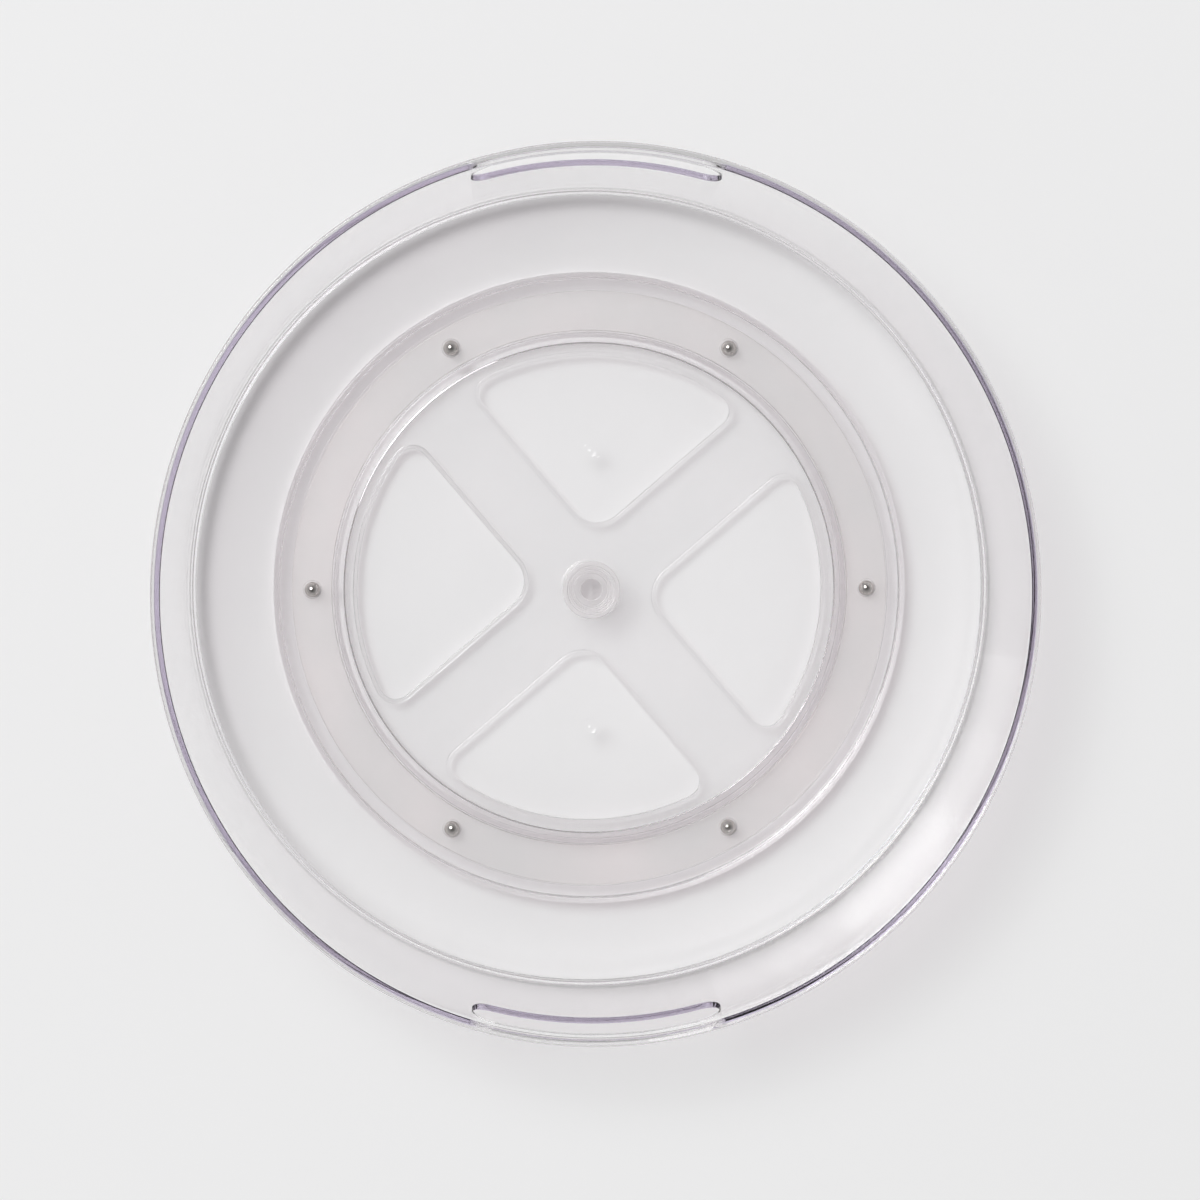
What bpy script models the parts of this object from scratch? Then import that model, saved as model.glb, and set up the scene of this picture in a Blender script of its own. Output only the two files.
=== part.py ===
"""Clear plastic turntable: a walled round tray that turns on six steel balls over a ringed base.

Blender 4.5, metres, +Z up. The origin is on the spin axis, on the surface that the base stands on.
The finger slots in the tray's wall face +Y and -Y. Run with: blender --background --python part.py
"""

import math

import bmesh
import bpy
from mathutils import Matrix

MM = 0.001

# Turned parts: facets around a full circle, and the widest gap that a turned seam closes.
RING_STEPS = 72
HUB_STEPS = 36
SEAM_GAP = 0.01 * MM
SMOOTH_ANGLE = math.radians(35.0)

# Heights above the surface that the base stands on.
BALL_Z = 6.6 * MM
TRAY_FLOOR_Z = 11.6 * MM
RIM_Z = 55.0 * MM

# Ball race: six balls on one pitch circle, each with 0.3 mm to the channel's floor and to the tray.
BALL_COUNT = 6
BALL_RADIUS = 2.5 * MM
BALL_PITCH_RADIUS = 90.0 * MM
RACE_GAP = 0.3 * MM
TRAY_UNDERSIDE_Z = BALL_Z + BALL_RADIUS + RACE_GAP
CHANNEL_FLOOR_Z = BALL_Z - BALL_RADIUS - RACE_GAP

# Tray: a flared wall on a flat floor, round at the floor and slightly oval at the rim.
RIM_RADIUS = 140.0 * MM
RIM_RADIUS_Y = 142.4 * MM
RIM_WIDTH = 3.1 * MM
RIM_BEAD_HEIGHT = 2.6 * MM
RIM_BEAD_STEP = 1.2 * MM
RIM_ROUND = 0.5 * MM
WALL_THICKNESS = 2.3 * MM
FOOT_RADIUS = 130.0 * MM
FOOT_STEP = 0.7 * MM
FOOT_Z = 5.0 * MM
FOOT_WIDTH = 2.2 * MM
FLOOR_FILLET = 1.5 * MM
FILLET_STEPS = 4
TRAY_BORE_RADIUS = 5.9 * MM
HUB_SEAT_RADIUS = 9.8 * MM
HUB_SEAT_Z = 11.3 * MM

# Finger slots: round-ended openings high in the wall, one on +Y and one on -Y.
SLOT_WIDTH = 79.0 * MM
SLOT_LOW_Z = 38.0 * MM
SLOT_HIGH_Z = 50.0 * MM
SLOT_CUTTER_Y = 135.0 * MM
SLOT_CUTTER_DEPTH = 26.0 * MM

# Base: a channel ring that carries the balls, and an open plate with a centre post.
BASE_RADIUS = 102.5 * MM
OUTER_WALL = 1.9 * MM
OUTER_WALL_Z = 8.6 * MM
CHANNEL_INNER_RADIUS = 83.2 * MM
INNER_WALL = 1.8 * MM
INNER_WALL_Z = 8.0 * MM
SHOULDER_RADIUS = 97.2 * MM
SHOULDER_Z = 4.6 * MM
PLATE_LOW_Z = 2.8 * MM
PLATE_TOP_Z = 4.6 * MM
PLATE_WALL_RADIUS = 79.5 * MM
POST_RADIUS = 5.5 * MM
POST_BORE_RADIUS = 3.75 * MM
POST_FOOT_RADIUS = 7.2 * MM
POST_FOOT_Z = 0.5 * MM
BARB_POCKET_RADIUS = 4.9 * MM
BARB_POCKET_Z = 3.0 * MM

# Base windows: four openings between crossed spokes, each with a low rib around it.
WINDOW_COUNT = 4
WINDOW_TURN = math.radians(-4.5)
SPOKE_HALF_WIDTH = 12.3 * MM
WINDOW_RADIUS = 75.6 * MM
WINDOW_TIP_ROUND = 9.5 * MM
WINDOW_CORNER_ROUND = 5.5 * MM
RIB_WIDTH = 1.3 * MM
RIB_TOP_Z = 5.4 * MM
RIB_ROOT_Z = 3.5 * MM

# Ball cage: a flat ring that floats in the channel.
CAGE_INNER_RADIUS = 83.6 * MM
CAGE_OUTER_RADIUS = 96.6 * MM
CAGE_LOW_Z = 4.2 * MM
CAGE_TOP_Z = 6.8 * MM
BALL_HOLE_RADIUS = 2.8 * MM

# Hub button: a dished cap on a split, barbed stem that snaps into the base's post.
CAP_RADIUS = 9.3 * MM
CAP_LOW_Z = 11.6 * MM
CAP_TOP_Z = 16.4 * MM
STEM_RADIUS = 3.4 * MM
STEM_LOW_Z = 0.9 * MM
BARB_RADIUS = 4.4 * MM
BARB_TOP_Z = 2.7 * MM
STEM_SPLIT_WIDTH = 1.2 * MM
STEM_SPLIT_TOP_Z = 7.5 * MM


def clear_scene():
    for obj in list(bpy.data.objects):
        bpy.data.objects.remove(obj, do_unlink=True)


def new_collection(name):
    collection = bpy.data.collections.new(name)
    bpy.context.scene.collection.children.link(collection)
    return collection


def plastic(name, colour, roughness, alpha):
    """Clear or frosted plastic."""
    material = bpy.data.materials.new(name)
    material.use_nodes = True
    shader = material.node_tree.nodes["Principled BSDF"]
    shader.inputs["Base Color"].default_value = (*colour, 1.0)
    shader.inputs["Roughness"].default_value = roughness
    shader.inputs["Metallic"].default_value = 0.0
    shader.inputs["Alpha"].default_value = alpha
    return material


def steel(name):
    material = bpy.data.materials.new(name)
    material.use_nodes = True
    shader = material.node_tree.nodes["Principled BSDF"]
    shader.inputs["Base Color"].default_value = (0.62, 0.61, 0.60, 1.0)
    shader.inputs["Roughness"].default_value = 0.12
    shader.inputs["Metallic"].default_value = 1.0
    return material


def evaluated_mesh(obj):
    """The mesh that an object's modifiers give, in the object's own frame."""
    depsgraph = bpy.context.evaluated_depsgraph_get()
    return bpy.data.meshes.new_from_object(obj.evaluated_get(depsgraph))


def turned(name, profile, steps, collection):
    """A solid of revolution about Z. The profile runs clockwise, seen with the radius to the right."""
    mesh = bpy.data.meshes.new(name)
    touches_axis = profile[0][0] == 0.0 and profile[-1][0] == 0.0
    edges = [(i, i + 1) for i in range(len(profile) - 1)]
    if not touches_axis:
        edges.append((len(profile) - 1, 0))
    mesh.from_pydata([(radius, 0.0, height) for radius, height in profile], edges, [])
    obj = bpy.data.objects.new(name, mesh)
    collection.objects.link(obj)
    screw = obj.modifiers.new("turn", "SCREW")
    screw.axis = "Z"
    screw.steps = steps
    screw.render_steps = steps
    screw.use_merge_vertices = True
    screw.merge_threshold = SEAM_GAP
    obj.data = evaluated_mesh(obj)
    obj.modifiers.clear()
    return obj


def arc(centre, radius, start, end, steps):
    """Points from angle start to angle end, both included."""
    angles = [start + (end - start) * i / steps for i in range(steps + 1)]
    return [(centre[0] + radius * math.cos(a), centre[1] + radius * math.sin(a)) for a in angles]


def extruded(name, outline, depth, matrix, collection):
    """A flat outline, given as points in XY, thickened by depth about its plane, as a mesh object."""
    curve = bpy.data.curves.new(name, "CURVE")
    curve.dimensions = "2D"
    curve.fill_mode = "BOTH"
    curve.extrude = depth / 2
    spline = curve.splines.new("POLY")
    spline.points.add(len(outline) - 1)
    for point, (x, y) in zip(spline.points, outline):
        point.co = (x, y, 0.0, 1.0)
    spline.use_cyclic_u = True
    guide = bpy.data.objects.new(name + "_outline", curve)
    collection.objects.link(guide)
    mesh = evaluated_mesh(guide)
    bpy.data.objects.remove(guide, do_unlink=True)
    weld(mesh)
    obj = bpy.data.objects.new(name, mesh)
    obj.matrix_world = matrix
    collection.objects.link(obj)
    return obj


def weld(mesh):
    """Join the loose edges that an extruded outline leaves between its caps and its sides."""
    bm = bmesh.new()
    bm.from_mesh(mesh)
    bmesh.ops.remove_doubles(bm, verts=bm.verts, dist=SEAM_GAP)
    bmesh.ops.recalc_face_normals(bm, faces=bm.faces)
    bm.to_mesh(mesh)
    bm.free()


def as_cutter(obj):
    obj.hide_render = True
    obj.display_type = "WIRE"
    return obj


def boolean(obj, other, operation):
    modifier = obj.modifiers.new(other.name, "BOOLEAN")
    modifier.solver = "EXACT"
    modifier.operation = operation
    modifier.object = other


def finish_part(obj, material):
    """Give a part its material, and smooth shading that keeps its corners crisp."""
    obj.data.materials.clear()
    obj.data.materials.append(material)
    obj.data.shade_smooth()
    obj.data.set_sharp_from_angle(angle=SMOOTH_ANGLE)


def wall_radius(height):
    """Outer radius of the tray's wall, before the rim's oval, at a height above the foot's step."""
    low_z = TRAY_FLOOR_Z
    high_z = RIM_Z - RIM_BEAD_HEIGHT - RIM_BEAD_STEP
    high_radius = RIM_RADIUS - RIM_BEAD_STEP
    low_radius = FOOT_RADIUS + FOOT_STEP
    return low_radius + (high_radius - low_radius) * (height - low_z) / (high_z - low_z)


def tray_profile():
    """Hub seat and floor outwards, wall up and over the rim, down to the foot, and back underneath."""
    wall_top_z = RIM_Z - RIM_BEAD_HEIGHT - RIM_BEAD_STEP
    fillet_top_z = TRAY_FLOOR_Z + FLOOR_FILLET
    inner_radius = wall_radius(fillet_top_z) - WALL_THICKNESS
    fillet_centre = (inner_radius - FLOOR_FILLET, fillet_top_z)
    points = [
        (TRAY_BORE_RADIUS, HUB_SEAT_Z),
        (HUB_SEAT_RADIUS, HUB_SEAT_Z),
        (HUB_SEAT_RADIUS, TRAY_FLOOR_Z),
    ]
    points += arc(fillet_centre, FLOOR_FILLET, math.radians(-90), 0.0, FILLET_STEPS)
    points += [
        (RIM_RADIUS - RIM_WIDTH, wall_top_z),
        (RIM_RADIUS - RIM_WIDTH, RIM_Z - RIM_ROUND),
        (RIM_RADIUS - RIM_WIDTH + RIM_ROUND, RIM_Z),
        (RIM_RADIUS - RIM_ROUND, RIM_Z),
        (RIM_RADIUS, RIM_Z - RIM_ROUND),
        (RIM_RADIUS, RIM_Z - RIM_BEAD_HEIGHT),
        (RIM_RADIUS - RIM_BEAD_STEP, wall_top_z),
        (wall_radius(TRAY_FLOOR_Z), TRAY_FLOOR_Z),
        (FOOT_RADIUS, TRAY_UNDERSIDE_Z),
        (FOOT_RADIUS, FOOT_Z),
        (FOOT_RADIUS - FOOT_WIDTH, FOOT_Z),
        (FOOT_RADIUS - FOOT_WIDTH, TRAY_UNDERSIDE_Z),
        (TRAY_BORE_RADIUS, TRAY_UNDERSIDE_Z),
    ]
    return points


def make_oval(mesh):
    """Stretch the wall along Y, from nothing at the floor to the rim's full oval."""
    for vertex in mesh.vertices:
        share = (vertex.co.z - TRAY_FLOOR_Z) / (RIM_Z - TRAY_FLOOR_Z)
        share = min(max(share, 0.0), 1.0)
        vertex.co.y *= 1.0 + (RIM_RADIUS_Y / RIM_RADIUS - 1.0) * share


def slot_outline():
    """A round-ended slot, centred on its own origin."""
    radius = (SLOT_HIGH_Z - SLOT_LOW_Z) / 2
    centre_x = SLOT_WIDTH / 2 - radius
    quarter = math.radians(90)
    return arc((centre_x, 0.0), radius, -quarter, quarter, 10) + arc(
        (-centre_x, 0.0), radius, quarter, 3 * quarter, 10
    )


def build_tray(parts, cutters):
    tray = turned("tray", tray_profile(), RING_STEPS, parts)
    make_oval(tray.data)
    finish_part(tray, plastic("clear_tray_plastic", (0.93, 0.92, 0.94), 0.05, 0.35))
    upright = Matrix.Rotation(math.radians(90), 4, "X")
    slot_z = (SLOT_LOW_Z + SLOT_HIGH_Z) / 2
    for side_name, side in (("front", -1), ("back", 1)):
        place = Matrix.Translation((0.0, side * SLOT_CUTTER_Y, slot_z)) @ upright
        name = "finger_slot_cutter_" + side_name
        slot = as_cutter(extruded(name, slot_outline(), SLOT_CUTTER_DEPTH, place, cutters))
        boolean(tray, slot, "DIFFERENCE")
    return tray


def base_profile():
    """Post top outwards, plate, channel with its shoulder, outer wall, underside inwards, bore up."""
    return [
        (POST_BORE_RADIUS, HUB_SEAT_Z),
        (POST_RADIUS, HUB_SEAT_Z),
        (POST_RADIUS, PLATE_TOP_Z),
        (PLATE_WALL_RADIUS, PLATE_TOP_Z),
        (CHANNEL_INNER_RADIUS - INNER_WALL, INNER_WALL_Z),
        (CHANNEL_INNER_RADIUS, INNER_WALL_Z),
        (CHANNEL_INNER_RADIUS, CHANNEL_FLOOR_Z),
        (SHOULDER_RADIUS, CHANNEL_FLOOR_Z),
        (SHOULDER_RADIUS, SHOULDER_Z),
        (BASE_RADIUS - OUTER_WALL, SHOULDER_Z),
        (BASE_RADIUS - OUTER_WALL, OUTER_WALL_Z),
        (BASE_RADIUS, OUTER_WALL_Z),
        (BASE_RADIUS, 0.0),
        (CHANNEL_INNER_RADIUS - INNER_WALL, 0.0),
        (CHANNEL_INNER_RADIUS - INNER_WALL, PLATE_LOW_Z),
        (POST_FOOT_RADIUS, PLATE_LOW_Z),
        (POST_FOOT_RADIUS, POST_FOOT_Z),
        (BARB_POCKET_RADIUS, POST_FOOT_Z),
        (BARB_POCKET_RADIUS, BARB_POCKET_Z),
        (POST_BORE_RADIUS, BARB_POCKET_Z),
    ]


def window_outline(growth):
    """A window between two crossed spokes, pointing along +X, grown outwards all round by growth."""
    eighth = math.radians(45)
    half_width = SPOKE_HALF_WIDTH - growth
    radius = WINDOW_RADIUS + growth
    tip_round = WINDOW_TIP_ROUND + growth
    corner_round = WINDOW_CORNER_ROUND + growth
    tip_x = math.sqrt(2.0) * (half_width + tip_round)
    corner_reach = radius - corner_round
    corner_angle = eighth - math.asin((half_width + corner_round) / corner_reach)
    corner = (corner_reach * math.cos(corner_angle), corner_reach * math.sin(corner_angle))
    upper = arc((tip_x, 0.0), tip_round, math.pi, 3 * eighth, 6)
    upper += arc(corner, corner_round, 3 * eighth, corner_angle, 6)
    upper += arc((0.0, 0.0), radius, corner_angle, 0.0, 8)[1:]
    lower = [(x, -y) for x, y in reversed(upper[1:-1])]
    return upper + lower


def build_base(parts, cutters):
    base = turned("base", base_profile(), RING_STEPS, parts)
    finish_part(base, plastic("clear_base_plastic", (0.92, 0.91, 0.93), 0.08, 0.35))
    window_depth = 4 * OUTER_WALL_Z
    for index in range(WINDOW_COUNT):
        turn = Matrix.Rotation(WINDOW_TURN + index * math.tau / WINDOW_COUNT, 4, "Z")
        rib_place = Matrix.Translation((0.0, 0.0, (RIB_ROOT_Z + RIB_TOP_Z) / 2)) @ turn
        rib_name = f"window_rib_{index + 1}"
        rib_depth = RIB_TOP_Z - RIB_ROOT_Z
        rib = as_cutter(extruded(rib_name, window_outline(RIB_WIDTH), rib_depth, rib_place, cutters))
        boolean(base, rib, "UNION")
        cutter_name = f"window_cutter_{index + 1}"
        cutter = as_cutter(extruded(cutter_name, window_outline(0.0), window_depth, turn, cutters))
        boolean(base, cutter, "DIFFERENCE")
    return base


def build_ball_cage(parts, cutters):
    """The cage's origin is on the spin axis, at the height of the balls' centres."""
    profile = [
        (CAGE_INNER_RADIUS, CAGE_TOP_Z - BALL_Z),
        (CAGE_OUTER_RADIUS, CAGE_TOP_Z - BALL_Z),
        (CAGE_OUTER_RADIUS, CAGE_LOW_Z - BALL_Z),
        (CAGE_INNER_RADIUS, CAGE_LOW_Z - BALL_Z),
    ]
    cage = turned("ball_cage", profile, RING_STEPS, parts)
    cage.location.z = BALL_Z
    finish_part(cage, plastic("frosted_cage_plastic", (0.80, 0.77, 0.77), 0.45, 0.6))
    for index in range(BALL_COUNT):
        angle = index * math.tau / BALL_COUNT
        bpy.ops.mesh.primitive_cylinder_add(
            vertices=24,
            radius=BALL_HOLE_RADIUS,
            depth=4 * BALL_RADIUS,
            location=(BALL_PITCH_RADIUS * math.cos(angle), BALL_PITCH_RADIUS * math.sin(angle), BALL_Z),
            rotation=(0.0, 0.0, angle + math.tau / 48),
        )
        hole = as_cutter(bpy.context.object)
        hole.name = f"ball_hole_cutter_{index + 1}"
        move_to(hole, cutters)
        boolean(cage, hole, "DIFFERENCE")
    return cage


def move_to(obj, collection):
    for owner in list(obj.users_collection):
        owner.objects.unlink(obj)
    collection.objects.link(obj)


def build_balls(cage, parts):
    """Each ball's origin is its centre, and its own X axis is the axis that it rolls about."""
    material = steel("ball_steel")
    for index in range(BALL_COUNT):
        angle = index * math.tau / BALL_COUNT
        bpy.ops.mesh.primitive_uv_sphere_add(segments=16, ring_count=10, radius=BALL_RADIUS)
        ball = bpy.context.object
        ball.name = f"ball_{index + 1}"
        move_to(ball, parts)
        ball.parent = cage
        ball.location = (BALL_PITCH_RADIUS * math.cos(angle), BALL_PITCH_RADIUS * math.sin(angle), 0.0)
        ball.rotation_euler.z = angle
        finish_part(ball, material)


def hub_profile():
    """Dished top outwards, cap rim down, stem down, barb, and back to the axis."""
    dish_z = CAP_TOP_Z - 3.1 * MM
    return [
        (0.0, dish_z),
        (3.4 * MM, dish_z),
        (3.7 * MM, dish_z + 0.3 * MM),
        (4.8 * MM, dish_z + 0.3 * MM),
        (5.3 * MM, CAP_TOP_Z - 1.5 * MM),
        (5.8 * MM, CAP_TOP_Z - 1.2 * MM),
        (7.5 * MM, CAP_TOP_Z - 0.5 * MM),
        (7.9 * MM, CAP_TOP_Z),
        (CAP_RADIUS - 0.5 * MM, CAP_TOP_Z),
        (CAP_RADIUS, CAP_TOP_Z - 0.5 * MM),
        (CAP_RADIUS, CAP_LOW_Z),
        (STEM_RADIUS, CAP_LOW_Z),
        (STEM_RADIUS, BARB_TOP_Z),
        (BARB_RADIUS, BARB_TOP_Z),
        (BARB_RADIUS, BARB_TOP_Z - 0.5 * MM),
        (STEM_RADIUS, STEM_LOW_Z),
        (0.0, STEM_LOW_Z),
    ]


def build_hub_button(parts, cutters):
    hub = turned("hub_button", hub_profile(), HUB_STEPS, parts)
    finish_part(hub, plastic("clear_hub_plastic", (0.93, 0.92, 0.93), 0.05, 0.35))
    bpy.ops.mesh.primitive_cube_add(size=1.0)
    split = as_cutter(bpy.context.object)
    split.name = "stem_split_cutter"
    move_to(split, cutters)
    split.scale = (STEM_SPLIT_WIDTH, 4 * BARB_RADIUS, 2 * STEM_SPLIT_TOP_Z)
    boolean(hub, split, "DIFFERENCE")
    return hub


def main():
    clear_scene()
    parts = new_collection("turntable")
    cutters = new_collection("turntable_cutters")
    build_base(parts, cutters)
    build_hub_button(parts, cutters)
    cage = build_ball_cage(parts, cutters)
    build_balls(cage, parts)
    build_tray(parts, cutters)


main()
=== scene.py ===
"""Looks of the clear plastic turntable: fine moulded shapes, clear and frosted plastic, steel balls.

Blender 4.5, metres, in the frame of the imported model: +Z up, origin on the spin axis at the surface that
the base stands on. The finger slots in the tray's wall face +Y and -Y.
"""

import math

import bmesh
import bpy
from mathutils import Matrix, Vector


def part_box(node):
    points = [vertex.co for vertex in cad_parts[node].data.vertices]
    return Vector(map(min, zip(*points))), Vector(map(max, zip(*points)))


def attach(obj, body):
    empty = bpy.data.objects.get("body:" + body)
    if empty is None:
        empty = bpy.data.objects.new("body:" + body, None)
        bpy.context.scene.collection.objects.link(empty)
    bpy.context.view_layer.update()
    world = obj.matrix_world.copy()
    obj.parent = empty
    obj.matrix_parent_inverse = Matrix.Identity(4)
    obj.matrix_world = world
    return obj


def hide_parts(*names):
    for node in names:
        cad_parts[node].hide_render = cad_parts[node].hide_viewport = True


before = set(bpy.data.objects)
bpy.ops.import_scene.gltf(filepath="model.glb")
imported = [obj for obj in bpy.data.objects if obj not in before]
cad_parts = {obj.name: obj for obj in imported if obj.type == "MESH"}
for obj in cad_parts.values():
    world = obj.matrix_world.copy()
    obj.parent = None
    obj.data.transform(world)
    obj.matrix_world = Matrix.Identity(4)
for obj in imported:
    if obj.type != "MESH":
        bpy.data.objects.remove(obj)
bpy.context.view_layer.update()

MM = 0.001

tray_low, tray_high = (Vector(corner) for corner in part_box("tray"))
base_high = Vector(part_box("base")[1])
cage_low, cage_high = (Vector(corner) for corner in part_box("ball_cage"))
hub_low, hub_high = (Vector(corner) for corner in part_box("hub_button"))
BALL_NAMES = sorted(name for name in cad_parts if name.startswith("ball_") and name != "ball_cage")

# Fineness of the turned shapes.
RING_STEPS = 720
SMALL_STEPS = 96
ROUND_STEPS = 4
SMOOTH_ANGLE = math.radians(40.0)
WELD_DISTANCE = 0.002 * MM
SLIVER_DISTANCE = 0.001 * MM

# Rounds on the moulded corners, from crisp to broad.
CRISP_ROUND = 0.1 * MM
FOOT_ROUND = 0.12 * MM
FINE_ROUND = 0.2 * MM
SMALL_ROUND = 0.3 * MM
EDGE_ROUND = 0.4 * MM
SOFT_ROUND = 0.5 * MM
BROAD_ROUND = 0.7 * MM
ROOT_ROUND = 1.0 * MM

# Tray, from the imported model's box and the wall's own sizes.
RIM_RADIUS = tray_high.x
RIM_OVAL = tray_high.y / tray_high.x
RIM_Z = tray_high.z
FOOT_Z = tray_low.z
HUB_SEAT_Z = base_high.z
HUB_SEAT_DEPTH = 0.3 * MM
TRAY_FLOOR_Z = HUB_SEAT_Z + HUB_SEAT_DEPTH
FOOT_RADIUS = 130.0 * MM
FOOT_WIDTH = 2.2 * MM
WALL_THICKNESS = 2.3 * MM
WALL_PAST_FOOT = 0.7 * MM
WALL_FOOT_ROUND = 2.0 * MM
RIM_WIDTH = 3.1 * MM
RIM_BEAD_STEP = 1.2 * MM
RIM_BEAD_HEIGHT = 2.6 * MM
FLOOR_FILLET = 1.5 * MM
TRAY_BORE_RADIUS = 5.9 * MM
HUB_SEAT_RADIUS = 9.8 * MM

# Finger slots.
SLOT_WIDTH = 79.0 * MM
SLOT_LOW_Z = 38.0 * MM
SLOT_HIGH_Z = 50.0 * MM
SLOT_EDGE_ROUND = 0.5 * MM
SLOT_EDGE_SHARES = (0.12, 0.35, 0.65, 1.0)
SLOT_CUT_REACH = 6.0 * MM
SLOT_CUT_LIP = 0.05 * MM
SLOT_SPAN_STEPS = 24
SLOT_END_STEPS = 16

# Marks on the tray's floor: a raised ring around a domed spot.
MARK_FRONT_Y = -45.0 * MM
MARK_BACK_Y = 44.5 * MM
MARK_INNER_RADIUS = 2.7 * MM
MARK_OUTER_RADIUS = 3.2 * MM
MARK_DRAFT = 0.1 * MM
MARK_HEIGHT = 0.25 * MM
MARK_ROOT = 0.4 * MM
SPOT_RADIUS = 1.8 * MM
SPOT_HEIGHT = 0.9 * MM
SPOT_ANGLES = (0.4, 0.8, 1.2, math.pi / 2)

# Ball race.
ball_low, ball_high = (Vector(corner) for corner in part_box(BALL_NAMES[0]))
BALL_RADIUS = (ball_high.z - ball_low.z) / 2
BALL_CUTS = 15
RACE_GAP = 0.3 * MM
TRAY_UNDERSIDE_Z = ball_high.z + RACE_GAP
CHANNEL_FLOOR_Z = ball_low.z - RACE_GAP

# Base.
BASE_RADIUS = base_high.x
OUTER_WALL = 1.9 * MM
OUTER_WALL_Z = 8.6 * MM
CHANNEL_INNER_RADIUS = 83.2 * MM
INNER_WALL = 1.8 * MM
INNER_WALL_Z = 8.0 * MM
SHOULDER_RADIUS = 97.2 * MM
SHOULDER_Z = 4.6 * MM
SHOULDER_ROUND = 0.15 * MM
PLATE_LOW_Z = 2.8 * MM
PLATE_TOP_Z = 4.6 * MM
PLATE_WALL_RADIUS = 79.5 * MM
POST_RADIUS = 5.5 * MM
POST_BORE_RADIUS = 3.75 * MM
POST_FOOT_RADIUS = 7.2 * MM
POST_FOOT_Z = 0.5 * MM
BARB_POCKET_RADIUS = 4.9 * MM
BARB_POCKET_Z = 3.0 * MM

# Base windows and the ribs around them.
WINDOW_COUNT = 4
WINDOW_TURN = math.radians(-4.5)
SPOKE_HALF_WIDTH = 12.3 * MM
WINDOW_RADIUS = 75.6 * MM
WINDOW_TIP_ROUND = 9.5 * MM
WINDOW_CORNER_ROUND = 5.5 * MM
WINDOW_TIP_STEPS = 12
WINDOW_CORNER_STEPS = 10
WINDOW_RIM_STEPS = 24
WINDOW_CUT_LOW_Z = -5.0 * MM
WINDOW_CUT_HIGH_Z = 20.0 * MM
RIB_WIDTH = 1.3 * MM
RIB_TOP_Z = 5.4 * MM
RIB_TOP_ROUND = 0.55 * MM
RIB_INSET = 0.15 * MM
RIB_TOE = 0.5 * MM
RIB_ROOT = 0.6 * MM

# Ball cage.
CAGE_INNER_RADIUS = 83.6 * MM
BALL_HOLE_RADIUS = 2.8 * MM
HOLE_CHAMFER = 0.3 * MM
HOLE_CUT_REACH = 4.0 * MM

# Hub button. Its dish goes down in steps of (radius, depth under the cap's top).
STEM_RADIUS = 3.4 * MM
CAP_GAP = 0.3 * MM
CAP_LOW_Z = HUB_SEAT_Z + CAP_GAP
BARB_RADIUS = 4.4 * MM
BARB_TOP_Z = 2.7 * MM
BARB_LIP = 0.5 * MM
STEM_SPLIT_WIDTH = 1.2 * MM
STEM_SPLIT_TOP_Z = 7.5 * MM
HUB_STEPS = ((3.5, 3.1), (5.3, 2.8), (5.9, 2.0), (6.5, 1.7), (7.1, 1.0), (7.8, 0.7))
HUB_STEP_ROUND = 0.08 * MM
HUB_STEP_SLANT = 0.12 * MM

# Camera: almost straight above, a little towards -X and +Y of the turntable.
CAMERA_PLACE = Vector((-0.0755, 0.0740, 1.400))
CAMERA_TARGET = Vector((0.0036, -0.0041, 0.0))
CAMERA_LENS = 129.1
CAMERA_SENSOR = 36.0

# Light: a round softbox high up towards -X and +Y, stronger in its middle, and a pale room. Each disc of
# the softbox is (radius, power).
KEY_TILT = math.radians(28.0)
KEY_AZIMUTH = math.radians(136.0)
KEY_DISTANCE = 9.0
KEY_DISCS = ((1.5, 200.0), (2.4, 225.0), (3.3, 230.0))
ROOM_ZENITH = 0.13
ROOM_SIDES = 0.76
ROOM_HORIZON = 0.3

# Table, a hair under the base.
TABLE_SIZE = 3.0
TABLE_SEGMENTS = 8
TABLE_DROP = 0.1 * MM
TABLE_TINTS = ((0.845, 0.845, 0.85, 1.0), (0.86, 0.86, 0.86, 1.0))
TABLE_MOTTLE_SCALE = 3.0
TABLE_MOTTLE_DETAIL = 4.0
TABLE_ROUGHNESS = 0.9

# Plastic.
PLASTIC_IOR = 1.52
ABSORPTION_DENSITY = 6.0
ABSORPTION_COLOUR = (0.14, 0.0, 0.10, 1.0)
# Painted violet shade for the long light path where one looks down the wall's length, on the rim and the
# slots' lower faces.
RIM_PAINTED_SHADE = (0.60, 0.53, 0.76, 1.0)
CLEAR_TINTS = ((0.985, 0.985, 0.985, 1.0), (1.0, 0.997, 0.998, 1.0))
MISTY_TINTS = ((0.84, 0.825, 0.83, 1.0), (0.88, 0.865, 0.87, 1.0))
FROSTED_TINTS = ((0.74, 0.73, 0.73, 1.0), (0.79, 0.76, 0.76, 1.0))
CLEAR_TRANSMISSION = 1.0
MISTY_TRANSMISSION = 0.62
FROSTED_TRANSMISSION = 0.5
TRAY_HAZE = (0.0, 0.02)
BASE_HAZE = (0.0, 0.03)
MISTY_HAZE = (0.08, 0.16)
FROSTED_HAZE = (0.3, 0.4)

# Fine texture of the plastic: flow bands, grain and hairline scratches.
FLOW_SCALE = 22.0
FLOW_DETAIL = 3.0
FLOW_BAND = (0.35, 0.65)
GRAIN_SCALE = 900.0
GRAIN_BAND = (0.3, 0.7)
SCRATCH_SCALE = 260.0
SCRATCH_STRETCH = 40.0
SCRATCH_TURN = 0.6
SCRATCH_CREST = (0.66, 0.72)
SCRATCH_RELIEF = 0.4
SCRATCH_HAZE = 0.03
PLASTIC_RELIEF = 0.04
PLASTIC_RELIEF_DEPTH = 0.01 * MM

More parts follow.
